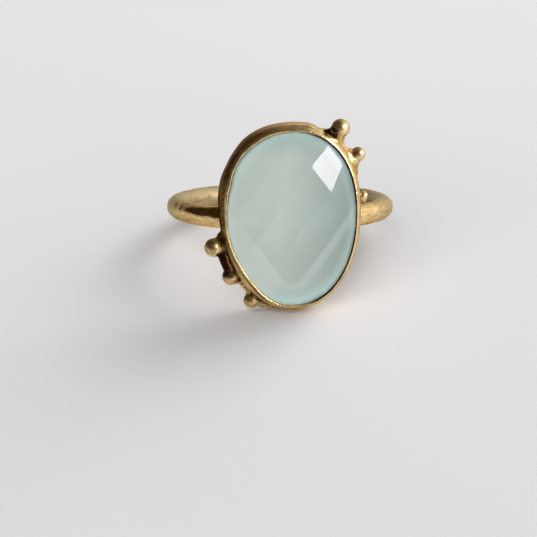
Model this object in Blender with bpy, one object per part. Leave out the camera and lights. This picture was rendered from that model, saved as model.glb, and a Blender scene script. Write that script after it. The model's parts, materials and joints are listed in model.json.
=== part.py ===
"""A hand-made stacking ring: a round wire band with an egg-shaped gem in a smooth gold bezel.

The metal is soldered into one body: the band, the bezel with its bearing plate and lip, and the
granules on the bezel's wall. The stone is a second body, held under the lip.

The ring is modelled round the finger's axis, which is Z here, with the head towards -Y. A parent
empty then lays it on its side on the plane Z = 0, the way it rests by itself.
"""

import math

import bmesh
import bpy
from mathutils import Matrix, Vector
from mathutils.geometry import intersect_ray_tri

MM = 0.001

# Band
FINGER_BORE = 17.3 * MM
WIRE = 2.0 * MM
BAND_STEPS = 72
WIRE_SIDES = 14

# Stone, a flat-backed cabochon with a diamond pattern of facets on its crown
STONE_WIDTH = 11.8 * MM
STONE_HEIGHT = 15.8 * MM
STONE_TAPER = 0.09
STONE_FULLNESS = 2.2
GIRDLE = 0.9 * MM
CROWN = 2.2 * MM
BACK_BEVEL = 0.25 * MM
FACET_PITCH = 0.29
OUTLINE_STEPS = 72

# Bezel, from its bearing plate to the lip that is pressed over the stone. The head sits a little
# above the band's middle, and its outline leans by HEAD_LEAN degrees.
SOLDER_DEPTH = 1.0 * MM
PLATE_RISE = 0.1 * MM
PLATE_WIDTH = 2.9 * MM
WALL = 0.32 * MM
LIP_OVERLAP = 0.12 * MM
LIP_RIM = 0.3 * MM
LIP_EDGE = 0.2 * MM
LIP_HEIGHT = 0.7 * MM
STONE_CLEARANCE = 0.1 * MM
HEAD_LIFT = 0.48 * MM
HEAD_LEAN = 3.0

# Granules along the bezel's wall. Bearing is the place round the outline in degrees, size is a
# share of GRANULE, and standoff is how far the centre is from the wall, as a share of the radius.
GRANULE = 1.7 * MM
GRANULE_SIDES = 14
GRANULE_LEVEL = 0.5
NECK_FOOT = 0.8
NECK_TOP = 0.5
GRANULES = (
    {"bearing": 54, "size": 1.00, "standoff": 1.25},
    {"bearing": 34, "size": 0.76, "standoff": 1.30},
    {"bearing": 193, "size": 1.00, "standoff": 1.15},
    {"bearing": 213, "size": 0.94, "standoff": 0.70},
    {"bearing": 235, "size": 0.82, "standoff": 0.80},
)

# Weight of a cubic metre, which decides how the ring lies
METAL_DENSITY = 8500.0
STONE_DENSITY = 2600.0

# Places along the head's axis, as distances from the finger's axis
WIRE_TOP = FINGER_BORE / 2 + WIRE
HEAD_BASE = WIRE_TOP - SOLDER_DEPTH
PLATE_TOP = WIRE_TOP + PLATE_RISE
STONE_BACK = PLATE_TOP + STONE_CLEARANCE
GIRDLE_TOP = STONE_BACK + GIRDLE
LIP_TOP = GIRDLE_TOP + LIP_HEIGHT
STONE_FRONT = GIRDLE_TOP + CROWN

# How far a facet that touches the dome stands above it where it meets its neighbours
FACET_RISE = CROWN * FACET_PITCH**2


def remove_everything():
    """Empty the file that Blender starts with."""
    for old in list(bpy.data.objects):
        bpy.data.objects.remove(old)
    for old in list(bpy.data.collections):
        bpy.data.collections.remove(old)


def new_collection(name):
    """Return a new collection in the scene."""
    made = bpy.data.collections.new(name)
    bpy.context.scene.collection.children.link(made)
    return made


def new_object(name, bm, collection):
    """Turn a bmesh into an object of the collection."""
    bmesh.ops.recalc_face_normals(bm, faces=bm.faces)
    mesh = bpy.data.meshes.new(name)
    bm.to_mesh(mesh)
    bm.free()
    made = bpy.data.objects.new(name, mesh)
    collection.objects.link(made)
    return made


def finish(name, colour, metallic, roughness):
    """Return a plain material for one piece."""
    made = bpy.data.materials.new(name)
    made.use_nodes = True
    shader = made.node_tree.nodes["Principled BSDF"]
    shader.inputs["Base Color"].default_value = (*colour, 1)
    shader.inputs["Metallic"].default_value = metallic
    shader.inputs["Roughness"].default_value = roughness
    return made


def power(value, exponent):
    """Return value to the exponent, with its sign kept."""
    return math.copysign(abs(value) ** exponent, value)


def outline_point(turn, grow, out):
    """Return the point at an angle round the head's egg-shaped outline.

    grow widens the stone's own outline all round, and out is the distance from the finger.
    """
    half_width = STONE_WIDTH / 2 + grow
    half_height = STONE_HEIGHT / 2 + grow
    rise = power(math.sin(turn), 2 / STONE_FULLNESS)
    x = half_width * power(math.cos(turn), 2 / STONE_FULLNESS) * (1 + STONE_TAPER * rise)
    z = half_height * rise
    lean = math.radians(HEAD_LEAN)
    across = x * math.cos(lean) - z * math.sin(lean)
    up = x * math.sin(lean) + z * math.cos(lean)
    return Vector((across, -out, up + HEAD_LIFT))


def outward(turn, grow, out):
    """Return the unit direction that leads straight out of the outline at an angle."""
    step = math.radians(1)
    along = outline_point(turn + step, grow, out) - outline_point(turn - step, grow, out)
    return Vector((along.z, 0, -along.x)).normalized()


def loft(rows):
    """Return a closed bmesh through outlines given as (grow, out) rows, from back to front."""
    bm = bmesh.new()
    turns = [2 * math.pi * step / OUTLINE_STEPS for step in range(OUTLINE_STEPS)]
    rings = [[bm.verts.new(outline_point(turn, *row)) for turn in turns] for row in rows]
    for lower, upper in zip(rings, rings[1:]):
        for i in range(OUTLINE_STEPS):
            bm.faces.new((lower[i - 1], lower[i], upper[i], upper[i - 1]))
    bm.faces.new(rings[0])
    bm.faces.new(rings[-1])
    return bm


def make_band(collection):
    """Bend the round wire into the band."""
    bpy.ops.mesh.primitive_torus_add(
        major_radius=(FINGER_BORE + WIRE) / 2,
        minor_radius=WIRE / 2,
        major_segments=BAND_STEPS,
        minor_segments=WIRE_SIDES,
    )
    band = bpy.context.object
    band.name = "band"
    for home in list(band.users_collection):
        home.objects.unlink(band)
    collection.objects.link(band)
    return band


def make_bezel_block(collection):
    """Loft the outside of the bezel: a straight wall that is rolled in to the lip."""
    wall = STONE_CLEARANCE + WALL
    lip = LIP_RIM - LIP_OVERLAP
    rows = (
        (wall, HEAD_BASE),
        (wall, GIRDLE_TOP + 0.1 * LIP_HEIGHT),
        (lip + 0.7 * (wall - lip), GIRDLE_TOP + 0.5 * LIP_HEIGHT),
        (lip + 0.3 * (wall - lip), GIRDLE_TOP + 0.85 * LIP_HEIGHT),
        (lip, LIP_TOP),
    )
    return new_object("bezel_block", loft(rows), collection)


def make_hollow(collection):
    """Loft what is cut out of the bezel: the open back, the stone's seat and the lip's mouth."""
    window = STONE_CLEARANCE - PLATE_WIDTH
    rows = (
        (window, HEAD_BASE - WIRE),
        (window, PLATE_TOP),
        (STONE_CLEARANCE, PLATE_TOP),
        (STONE_CLEARANCE, GIRDLE_TOP + FACET_RISE + STONE_CLEARANCE),
        (-LIP_OVERLAP, LIP_TOP - LIP_EDGE),
        (-LIP_OVERLAP, LIP_TOP + WIRE),
    )
    return new_object("bezel_hollow", loft(rows), collection)


def make_granule(number, bearing, size, standoff, collection):
    """Make one granule and the cone of solder that joins it to the wall."""
    wall = STONE_CLEARANCE + WALL
    level = HEAD_BASE + GRANULE_LEVEL * (LIP_TOP - HEAD_BASE)
    turn = math.radians(bearing)
    foot = outline_point(turn, wall, level)
    away = outward(turn, wall, level)
    radius = GRANULE / 2 * size
    reach = radius * standoff
    ball = bmesh.new()
    bmesh.ops.create_uvsphere(
        ball,
        u_segments=GRANULE_SIDES,
        v_segments=GRANULE_SIDES - 4,
        radius=radius,
        matrix=Matrix.Translation(foot + away * reach),
    )
    new_object(f"granule_{number}", ball, collection)
    neck = bmesh.new()
    length = reach + WALL
    middle = foot + away * (reach - WALL) / 2
    bmesh.ops.create_cone(
        neck,
        cap_ends=True,
        segments=GRANULE_SIDES - 2,
        radius1=radius * NECK_FOOT,
        radius2=radius * NECK_TOP,
        depth=length,
        matrix=Matrix.Translation(middle) @ away.to_track_quat("Z", "Y").to_matrix().to_4x4(),
    )
    new_object(f"neck_{number}", neck, collection)


def add_boolean(target, name, operation, operand):
    """Add an exact Boolean with an object or a whole collection."""
    modifier = target.modifiers.new(name, "BOOLEAN")
    modifier.operation = operation
    modifier.solver = "EXACT"
    if isinstance(operand, bpy.types.Collection):
        modifier.operand_type = "COLLECTION"
        modifier.collection = operand
    else:
        modifier.object = operand


def make_metal(collection, beads, cutters):
    """Solder the granules to the bezel, cut the seat, and solder the bezel to the band."""
    for number, granule in enumerate(GRANULES, start=1):
        make_granule(number, **granule, collection=beads)
    metal = make_bezel_block(collection)
    metal.name = metal.data.name = "band_and_bezel"
    add_boolean(metal, "granules", "UNION", beads)
    add_boolean(metal, "seat", "DIFFERENCE", make_hollow(cutters))
    add_boolean(metal, "band", "UNION", make_band(cutters))
    metal.data.materials.append(finish("aged_gold", (0.55, 0.36, 0.13), 1.0, 0.38))
    return metal


def crown_planes():
    """Yield the point and normal of each crown facet, the table first.

    The facets touch a shallow dome at the points of a diamond lattice, so each is a diamond.
    """
    half_width = STONE_WIDTH / 2
    half_height = STONE_HEIGHT / 2
    rows = math.ceil(1 / FACET_PITCH)
    lattice = [
        (column * FACET_PITCH, row * FACET_PITCH)
        for column in range(-rows, rows + 1)
        for row in range(-rows, rows + 1)
        if (column + row) % 2 == 0
    ]
    for across, up in sorted(lattice, key=lambda place: math.hypot(*place)):
        # A facet whose centre lies further out than this never reaches the stone.
        if math.hypot(across, up) > 1 + 0.6 * FACET_PITCH:
            continue
        height = GIRDLE_TOP + CROWN * (1 - across**2 - up**2)
        point = Vector((across * half_width, -height, up * half_height + HEAD_LIFT))
        slope = Vector((2 * CROWN * across / half_width, -1, 2 * CROWN * up / half_height))
        yield point, slope.normalized()


def make_stone(collection):
    """Cut the stone: a flat-backed egg-shaped blank, ground away facet by facet."""
    bm = loft(
        (
            (-BACK_BEVEL, STONE_BACK),
            (0, STONE_BACK + BACK_BEVEL),
            (0, STONE_FRONT + CROWN),
        )
    )
    for point, normal in crown_planes():
        cut = bmesh.ops.bisect_plane(
            bm,
            geom=bm.verts[:] + bm.edges[:] + bm.faces[:],
            dist=0.001 * MM,
            plane_co=point,
            plane_no=normal,
            clear_outer=True,
        )
        rim = [item for item in cut["geom_cut"] if isinstance(item, bmesh.types.BMEdge)]
        bmesh.ops.holes_fill(bm, edges=rim, sides=0)
    stone = new_object("stone", bm, collection)
    stone.data.materials.append(finish("aqua_chalcedony", (0.5, 0.6, 0.55), 0.0, 0.15))
    return stone


def evaluated_mesh(piece):
    """Return the piece's mesh with its modifiers applied."""
    graph = bpy.context.evaluated_depsgraph_get()
    return bpy.data.meshes.new_from_object(piece.evaluated_get(graph))


def centre_of_mass(solids):
    """Return the common centre of mass of (mesh, density) pairs."""
    mass = 0.0
    moment = Vector()
    for mesh, density in solids:
        mesh.calc_loop_triangles()
        for triangle in mesh.loop_triangles:
            a, b, c = (mesh.vertices[index].co for index in triangle.vertices)
            share = density * a.dot(b.cross(c)) / 6
            mass += share
            moment += share * (a + b + c) / 4
    return moment / mass


def resting_placement(solids):
    """Return the matrix that lays the ring on the plane Z = 0 as it comes to rest.

    The ring rests on a face of its convex hull that has the centre of mass above it. Of these
    it takes the one that needs the least tilt from lying with the finger's axis upright.
    """
    centre = centre_of_mass(solids)
    hull = bmesh.new()
    for mesh, _ in solids:
        hull.from_mesh(mesh)
    bmesh.ops.delete(hull, geom=hull.edges, context="EDGES_FACES")
    bmesh.ops.convex_hull(hull, input=hull.verts)
    bmesh.ops.recalc_face_normals(hull, faces=hull.faces)
    down = Vector((0, 0, -1))
    steady = [
        face
        for face in hull.faces
        if intersect_ray_tri(*(vert.co for vert in face.verts), face.normal, centre, True)
    ]
    footprint = max(steady, key=lambda face: face.normal.dot(down))
    turn = footprint.normal.rotation_difference(down).to_matrix().to_4x4()
    corners = [turn @ vert.co for face in hull.faces for vert in face.verts]
    low = [min(corner[axis] for corner in corners) for axis in range(3)]
    high = [max(corner[axis] for corner in corners) for axis in range(3)]
    hull.free()
    shift = Vector((-(low[0] + high[0]) / 2, -(low[1] + high[1]) / 2, -low[2]))
    return Matrix.Translation(shift) @ turn


def lay_down(metal, stone, tools):
    """Parent both pieces, with what shapes the metal, to an empty that lays the ring down."""
    solids = ((evaluated_mesh(metal), METAL_DENSITY), (evaluated_mesh(stone), STONE_DENSITY))
    rest = bpy.data.objects.new("ring_at_rest", None)
    rest.empty_display_size = FINGER_BORE / 2
    metal.users_collection[0].objects.link(rest)
    rest.matrix_world = resting_placement(solids)
    for mesh, _ in solids:
        bpy.data.meshes.remove(mesh)
    for piece in (metal, stone, *tools):
        piece.parent = rest


def hide_tools(tools):
    """Keep the cutters and the soldered pieces out of renders."""
    for tool in tools:
        tool.hide_render = True
        tool.display_type = "WIRE"


def main():
    """Build the ring."""
    remove_everything()
    ring = new_collection("stacking_ring")
    beads = new_collection("soldered_granules")
    cutters = new_collection("cutters")
    metal = make_metal(ring, beads, cutters)
    stone = make_stone(ring)
    tools = [*beads.objects, *cutters.objects]
    hide_tools(tools)
    lay_down(metal, stone, tools)


main()
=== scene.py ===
"""Looks of a hand-made stacking ring: aged gold, a milky faceted stone, and a plain pale stage.

Laid out as a Blender add-on and run as a script. Each piece is modelled round the finger's axis,
which is Z there, with the head towards -Y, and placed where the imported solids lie.
"""

import json
import math

import bmesh
import bpy
import numpy as np
from bpy.props import FloatProperty, FloatVectorProperty, IntProperty, PointerProperty
from mathutils import Matrix, Vector, noise


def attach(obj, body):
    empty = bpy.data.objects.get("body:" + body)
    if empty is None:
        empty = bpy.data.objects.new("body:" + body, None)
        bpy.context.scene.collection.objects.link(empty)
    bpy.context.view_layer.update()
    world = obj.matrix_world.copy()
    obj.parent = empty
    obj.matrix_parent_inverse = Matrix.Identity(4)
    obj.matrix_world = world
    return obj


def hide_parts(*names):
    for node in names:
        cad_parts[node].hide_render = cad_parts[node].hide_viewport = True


bl_info = {
    "name": "Stacking ring looks",
    "version": (1, 0, 0),
    "blender": (4, 5, 0),
    "location": "3D View > Sidebar > Ring",
    "description": "Dresses the packed stacking ring in aged gold and a milky faceted stone",
    "category": "Object",
}

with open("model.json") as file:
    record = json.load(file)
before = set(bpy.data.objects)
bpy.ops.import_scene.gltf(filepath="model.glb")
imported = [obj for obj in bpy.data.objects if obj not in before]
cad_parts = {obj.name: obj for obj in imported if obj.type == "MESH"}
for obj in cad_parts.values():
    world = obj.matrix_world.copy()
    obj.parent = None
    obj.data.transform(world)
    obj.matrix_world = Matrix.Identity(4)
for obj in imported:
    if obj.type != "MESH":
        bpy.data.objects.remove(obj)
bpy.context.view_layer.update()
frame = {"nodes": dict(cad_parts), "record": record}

MM = 0.001

# Sizes of the solids, which the visible surfaces follow
FINGER_BORE = 17.3 * MM
WIRE = 2.0 * MM
STONE_WIDTH = 11.8 * MM
STONE_HEIGHT = 15.8 * MM
STONE_TAPER = 0.09
STONE_FULLNESS = 2.2
GIRDLE = 0.9 * MM
CROWN = 2.2 * MM
BACK_BEVEL = 0.25 * MM
FACET_PITCH = 0.29

# Facets that were ground a little off true, by column and row: how far each lies off its place,
# and how it tips across and up, all as shares of the crown's height
UNEVEN_FACETS = {
    (3, 1): (-0.0257, -0.0929, -0.1613),
    (1, 3): (-0.0029, -0.0725, -0.0570),
    (1, 1): (-0.0127, -0.0095, 0.0053),
}

SOLDER_DEPTH = 1.0 * MM
PLATE_RISE = 0.1 * MM
PLATE_WIDTH = 2.9 * MM
WALL = 0.32 * MM
LIP_OVERLAP = 0.12 * MM
LIP_HEIGHT = 0.7 * MM
STONE_CLEARANCE = 0.1 * MM
HEAD_LIFT = 0.48 * MM
HEAD_LEAN = 3.0
GRANULE = 1.7 * MM
GRANULE_LEVEL = 0.5

# Granules: bearing round the head in degrees, share of the full size, and how many radii the
# middle stands off the wall
GRANULES = (
    (54, 1.00, 1.25),
    (34, 0.76, 1.30),
    (193, 1.00, 1.15),
    (213, 0.94, 0.70),
    (235, 0.82, 0.80),
)

# Runs of solder along the wall: how much dark flux is left on each, then bearings round the head
# in degrees from first to last, radius and distance outside the wall in millimetres, and level
# from 0 at the head's base to 1 at the lip
SOLDER_RUNS = (
    (0.1, (24, 62, 0.42, -0.12, 0.55)),
    (0.1, (31, 37, 0.60, 0.10, 0.50)),
    (0.1, (50, 56, 0.58, 0.15, 0.48)),
    (1.0, (57, 59, 0.34, 0.22, 0.76)),
    (0.0, (6, 8, 0.34, 0.38, 0.28)),
    (0.2, (188, 212, 0.52, 0.10, 0.50)),
    (1.0, (200, 210, 0.48, 0.42, 0.58)),
    (0.1, (216, 230, 0.42, -0.10, 0.55)),
    (0.25, (231, 243, 0.55, 0.05, 0.50)),
    (0.1, (243, 251, 0.42, -0.10, 0.50)),
)

# The painted shade on the upper side of the band's left arm, which stands for the dark that this side
# mirrors: degrees along the band, and between which degrees round the wire it lies there, from the
# outside upwards
BAND_SHADE = (
    (208, 26, 28),
    (212.5, 15, 44),
    (216.5, 8, 52),
    (222.5, 6, 61),
    (229, 4, 78),
    (233, 3, 82),
    (245, 2, 84),
)

# The side of each granule that is painted in shade, as a direction, and how much darker it is painted
# there
GRANULE_SHADED_SIDE = (-0.75, -0.2, 0.63)
GRANULE_SHADE = 0.6

HALF_WIDTH = STONE_WIDTH / 2
HALF_HEIGHT = STONE_HEIGHT / 2
WIRE_MIDDLE = (FINGER_BORE + WIRE) / 2
WALL_OUTSIDE = STONE_CLEARANCE + WALL

# Places along the head's axis, as distances from the finger's axis
WIRE_TOP = FINGER_BORE / 2 + WIRE
HEAD_BASE = WIRE_TOP - SOLDER_DEPTH
PLATE_TOP = WIRE_TOP + PLATE_RISE
STONE_BACK = PLATE_TOP + STONE_CLEARANCE
GIRDLE_TOP = STONE_BACK + GIRDLE
LIP_TOP = GIRDLE_TOP + LIP_HEIGHT
STONE_FRONT = GIRDLE_TOP + CROWN

# The photograph's view of the ring, in the ring's own axes: the camera stands to the left of the
# head and above the band, by so many degrees, and the band's centre falls on BAND_PIXEL
PICTURE = 537
BAND_PIXEL = (280.0, 205.8)
CAMERA_LEFT = 4.72
CAMERA_ABOVE = 7.53
CAMERA_DISTANCE = 217 * MM
FOCAL_PIXELS = 2304
SENSOR = 36.0


def colour_setting(name, description, default, most=1):
    """Return a colour that the user may change."""
    return FloatVectorProperty(
        name=name, description=description, default=default, subtype="COLOR", min=0, max=most
    )


def share_setting(name, description, default, least=0):
    """Return a share up to 1 that the user may change."""
    return FloatProperty(
        name=name, description=description, default=default, subtype="FACTOR", min=least, max=1
    )


def length_setting(name, description, default, least, most, precision=5):
    """Return a length in metres that the user may change."""
    return FloatProperty(
        name=name,
        description=description,
        default=default,
        unit="LENGTH",
        precision=precision,
        min=least,
        max=most,
    )


def power_setting(name, description, default):
    """Return a light's power in watts that the user may change."""
    return FloatProperty(
        name=name, description=description, default=default, unit="POWER", min=0, max=1000
    )


class GoldLooks(bpy.types.PropertyGroup):
    """Surface and colours of the soldered metal."""

    bright: colour_setting("Worn gold", "Colour where the gold is rubbed bright", (0.95, 0.72, 0.37))
    body: colour_setting("Matte gold", "Colour of most of the metal", (0.72, 0.465, 0.175))
    # Partly painted light: the back of the band is rougher, and is also painted a paler gold with a
    # brighter edge tint for how it catches the light
    dull_and_lit: colour_setting("Dull gold", "Colour round the back of the band", (0.53, 0.44, 0.26))
    dull_and_lit_edge: colour_setting(
        "Dull edge", "Tint of what the dull gold mirrors where it is seen edge on", (0.85, 0.78, 0.64)
    )
    patina: colour_setting("Patina", "Colour of the tarnish in hollows", (0.10, 0.042, 0.012))
    edge: colour_setting(
        "Edge", "Tint of what the gold mirrors where it is seen edge on", (0.64, 0.46, 0.26)
    )
    # This tint also darkens what the painted shade and the crevice's painted shade mirror
    tarnished_and_shaded_edge: colour_setting(
        "Tarnished edge",
        "Tint of what the tarnish and the flux mirror where they are seen edge on",
        (0.11, 0.045, 0.012),
    )
    # Painted shade: the dark colour on the wall's upper left, on the upper side of the band's left arm
    # and on the granules' upper left sides; it also colours the brown line along the lip
    tarnish_and_shade: colour_setting(
        "Tarnish", "Colour of the side of the wall that was never rubbed", (0.082, 0.033, 0.005)
    )
    tarnish_and_shade_strength: share_setting("Tarnish strength", "How much that side has darkened", 1.0)
    flux: colour_setting(
        "Flux", "Colour of the dark glassy flux left on the solder", (0.026, 0.007, 0.004)
    )
    # Painted shade: a near black line in the crevice between the lip and the stone, on the right side
    # only
    crevice_shade: colour_setting(
        "Dirt", "Colour of the dirt between the lip and the stone", (0.018, 0.011, 0.006)
    )
    roughness: share_setting("Roughness", "Roughness of the matte gold", 0.22)
    voxel: length_setting(
        "Surface step", "Width of the steps in which the metal is fused", 0.075 * MM, 0.04 * MM, 0.5 * MM
    )
    solder_flow: IntProperty(
        name="Solder flow",
        description="How far solder has run into the corners, in smoothing passes",
        default=50,
        min=0,
        max=100,
    )
    hammer_depth: length_setting(
        "Hammer depth", "Depth of the hammer's flats on the band", 0.045 * MM, 0, 0.2 * MM
    )
    hammer_width: length_setting(
        "Hammer width", "Width of one hammer flat", 1.5 * MM, 0.3 * MM, 4 * MM, precision=4
    )
    grain_depth: length_setting(
        "Grain depth",
        "Depth of the fine grain that the sandpaper left",
        0.009 * MM,
        0,
        0.1 * MM,
        precision=6,
    )


class StoneLooks(bpy.types.PropertyGroup):
    """Colours and polish of the stone."""

    heart: colour_setting("Heart", "Colour in the middle of the stone", (0.69, 0.775, 0.72))
    # Painted light: the rim is painted lighter and more aqua, less so on the right
    rim: colour_setting("Rim", "Colour near the bezel, where the stone is thin", (0.66, 0.90, 0.87))
    # Painted shade: the lozenge of the table is painted darker
    table: colour_setting(
        "Table", "Colour in the lower part of the wide table at the stone's back", (0.615, 0.685, 0.625)
    )
    shade: colour_setting(
        "Shade",
        "Colour of the side from which the light comes, which sends it inwards",
        (0.37, 0.47, 0.43),
    )
    # Painted highlight: a light line painted along one facet edge
    glint: colour_setting(
        "Worn edge", "Colour along the worn lower right edge of the middle facet", (0.85, 0.92, 0.88)
    )
    # Painted shade: the stone's top and foot against the bezel
    top: colour_setting("Top", "Colour of the stone's top, against the bezel", (0.35, 0.55, 0.56))
    roundness: share_setting(
        "Roundness",
        "How far the light inside follows the dome; below zero it gathers away from the window",
        0.2,
        -1,
    )
    depth: length_setting(
        "Milkiness", "How far light wanders inside the stone", 0.4 * MM, 0.05 * MM, 10 * MM, precision=4
    )
    facet_edge: length_setting(
        "Facet edge", "Width of the worn edge between two facets", 0.03 * MM, 0.005 * MM, 0.2 * MM
    )


class StageLooks(bpy.types.PropertyGroup):
    """Floor and light."""

    floor: colour_setting("Floor", "Colour of the pale floor", (0.78, 0.79, 0.815))
    # Painted light: the floor is painted lighter behind the ring
    floor_behind: colour_setting(
        "Floor behind", "Colour of the floor behind the ring", (0.905, 0.915, 0.94)
    )
    window: power_setting(
        "Window", "Power of the window that the stone mirrors, at the right and in front", 31.5
    )
    window_colour: colour_setting("Window colour", "Colour of the window's light", (1.0, 0.90, 1.0))
    fill: power_setting("Fill", "Power of the soft light in front, which the metal doesn't mirror", 12.0)
    daylight: power_setting(
        "Daylight", "Power of the wide soft light at the right, behind, that casts the shadow", 16.5
    )
    dark_side: colour_setting("Dark side", "Light of the room at the left", (0.11, 0.085, 0.06), 10)
    pale_side: colour_setting("Pale side", "Light of the room at the right", (0.61, 0.63, 0.65), 10)
    bright_side: colour_setting(
        "Bright side", "Light of the room at the right, behind", (1.20, 1.18, 1.14), 10
    )
    room: FloatProperty(name="Room", description="Brightness of the room", default=1.0, min=0, max=5)


def ring_placement():
    """Return the matrix that takes the ring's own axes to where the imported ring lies.

    The stone's table gives the head's direction. The finger's axis is the direction in which
    the half of the band away from the head is thinnest.
    """
    mount = next(m for m in frame["record"]["mounts"] if m["name"] == "stone_table")
    table = Vector(mount["pos_m"])
    head = Vector(mount["axis"]).normalized()
    metal = frame["nodes"]["band_and_bezel"].data
    places = np.array([vert.co for vert in metal.vertices])
    behind = places[(places - np.array(table)) @ np.array(head) < -STONE_FRONT]
    finger = Vector(np.linalg.eigh(np.cov(behind.T))[1][:, 0])
    finger = (finger - head * finger.dot(head)).normalized()
    if finger.z < 0:
        finger.negate()
    right = finger.cross(head)
    centre = table - head * STONE_FRONT - finger * HEAD_LIFT
    turn = Matrix((right, -head, finger)).transposed().to_4x4()
    return Matrix.Translation(centre) @ turn


PLACE = ring_placement()


def power(value, exponent):
    """Return value to the exponent, with its sign kept."""
    return math.copysign(abs(value) ** exponent, value)


def outline_point(turn, grow, out):
    """Return the point at an angle round the head's egg-shaped outline."""
    rise = power(math.sin(turn), 2 / STONE_FULLNESS)
    bulge = power(math.cos(turn), 2 / STONE_FULLNESS)
    x = (HALF_WIDTH + grow) * bulge * (1 + STONE_TAPER * rise)
    z = (HALF_HEIGHT + grow) * rise
    lean = math.radians(HEAD_LEAN)
    across = x * math.cos(lean) - z * math.sin(lean)
    up = x * math.sin(lean) + z * math.cos(lean)
    return Vector((across, -out, up + HEAD_LIFT))


def outward(turn, grow, out):
    """Return the unit direction that leads straight out of the outline at an angle."""
    step = math.radians(1)
    along = outline_point(turn + step, grow, out) - outline_point(turn - step, grow, out)
    return Vector((along.z, 0, -along.x)).normalized()


def crown_lattice():
    """Yield the place of each crown facet as shares of the stone's half sizes, table first."""
    rows = math.ceil(1 / FACET_PITCH)
    lattice = [
        (column * FACET_PITCH, row * FACET_PITCH)
        for column in range(-rows, rows + 1)
        for row in range(-rows, rows + 1)
        if (column + row) % 2 == 0
    ]
    for across, up in sorted(lattice, key=lambda place: math.hypot(*place)):
        if math.hypot(across, up) <= 1 + 0.6 * FACET_PITCH:
            yield across, up


def crown_plane(across, up):
    """Return the point and normal of the facet that touches the dome at a lattice place."""
    place = (round(across / FACET_PITCH), round(up / FACET_PITCH))
    off, tip_across, tip_up = UNEVEN_FACETS.get(place, (0, 0, 0))
    height = GIRDLE_TOP + CROWN * (1 - across**2 - up**2 + off)
    point = Vector((across * HALF_WIDTH, -height, up * HALF_HEIGHT + HEAD_LIFT))
    slope = Vector((
        CROWN * (2 * across - tip_across) / HALF_WIDTH, -1, CROWN * (2 * up - tip_up) / HALF_HEIGHT
    ))
    return point, slope.normalized()


def crown_height(x, z):
    """Return how far from the finger's axis the faceted crown is, at a place on the stone."""
    heights = []
    for place in crown_lattice():
        point, normal = crown_plane(*place)
        drop = normal.x * (x - point.x) + normal.z * (z - point.z)
        heights.append(-point.y + drop / normal.y)
    return min(heights)


def add_object(name, data):
    """Add an object to the scene."""
    made = bpy.data.objects.new(name, data)
    bpy.context.scene.collection.objects.link(made)
    return made


def finished_mesh(name, bm):
    """Return a mesh with what a bmesh holds, and free the bmesh."""
    mesh = bpy.data.meshes.new(name)
    bm.to_mesh(mesh)
    bm.free()
    return mesh


def new_piece(name, bm):
    """Turn a bmesh in the ring's own axes into an object that lies where the ring lies."""
    bmesh.ops.recalc_face_normals(bm, faces=bm.faces)
    mesh = finished_mesh(name, bm)
    mesh.transform(PLACE)
    return add_object(name, mesh)


def join_rings(bm, rings, closed):
    """Skin a row of point rings with quads, back to the first ring if closed."""
    loops = [[bm.verts.new(point) for point in ring] for ring in rings]
    pairs = list(zip(loops, loops[1:]))
    if closed:
        pairs.append((loops[-1], loops[0]))
    for lower, upper in pairs:
        for i in range(len(lower)):
            bm.faces.new((lower[i - 1], lower[i], upper[i], upper[i - 1]))
    return loops


def circle_steps(count):
    """Return evenly spaced angles round a circle."""
    return [2 * math.pi * step / count for step in range(count)]


# Steps round the head and round the band, and sides of the wire and of a granule
BEZEL_STEPS = 240
BAND_STEPS = 240
WIRE_SIDES = 36
BALL_SIDES = 32

# Most triangles that the metal keeps
TRIANGLE_LIMIT = 190000

# The solder cone under a granule, as shares of the granule's radius, and how deep it is rooted
NECK_FOOT = 0.95
NECK_TOP = 0.78
NECK_ROOT = 0.7 * WALL

# Solder: degrees between the lumps of a run, how uneven they are and how fast that changes, sides
# round a run, and where the rings of its round ends lie as shares of its radius
LUMP_SPACING = 1.5
LUMP_VARIATION = 0.5
LUMP_CHANGE = 0.7
ROD_SIDES = 20
END_BULGES = (0.98, 0.85, 0.55)

# The burnished lip: how much lower it lies than the solid's, its crest, the bevel that leads from
# the crest down to the stone, how far it was pushed down the stone, and how close it comes to it
LIP_SINK = 0.28 * MM
LIP_CREST = 0.02 * MM
LIP_BEVEL = 0.2 * MM
LIP_DROP = 0.12 * MM
LIP_GAP = 0.02 * MM
LIP_SEAT = 0.2 * MM
CREST_ROUND = 0.06 * MM

# Where the wall bends inwards: the share of its reach that is left, and how far above the girdle
# that is, as a share of the lip's height
WALL_BENDS = ((1.0, -0.3), (0.75, 0.1))

# How the hand-made bezel departs from an even one: degrees round the head, how many millimetres
# further the lip reaches over the stone, and how many the wall stands proud
UNEVEN_BEZEL = (
    (60, 0, 0),
    (68, 0, 0.12),
    (75, 0, 0.17),
    (83, 0.03, 0.10),
    (97, 0.11, 0),
    (113, 0.27, -0.08),
    (125, 0.26, -0.13),
    (132, 0.26, -0.21),
    (145, 0.29, -0.21),
    (156, 0.34, -0.06),
    (171, 0.22, 0),
    (185, 0.08, 0),
    (194, 0.13, 0),
    (209, 0.29, 0),
    (227, 0.36, 0),
    (240, 0.22, 0),
    (256, 0.04, 0),
    (270, 0, 0),
)

# How much higher the lip lies for each millimetre that it reaches further in, as the crown does
LIP_CLIMB = 0.75

# How far below the plate's top and below the lip the seat round the stone ends
SEAT_FLOOR = 0.2 * MM
SEAT_CEILING = 0.1 * MM


def uneven_bezel(bearing):
    """Return how far the lip reaches in and the wall stands out, at degrees round the head."""
    stops, lip, wall = np.array(UNEVEN_BEZEL).T
    return np.interp(bearing, stops, lip) * MM, np.interp(bearing, stops, wall) * MM


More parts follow.
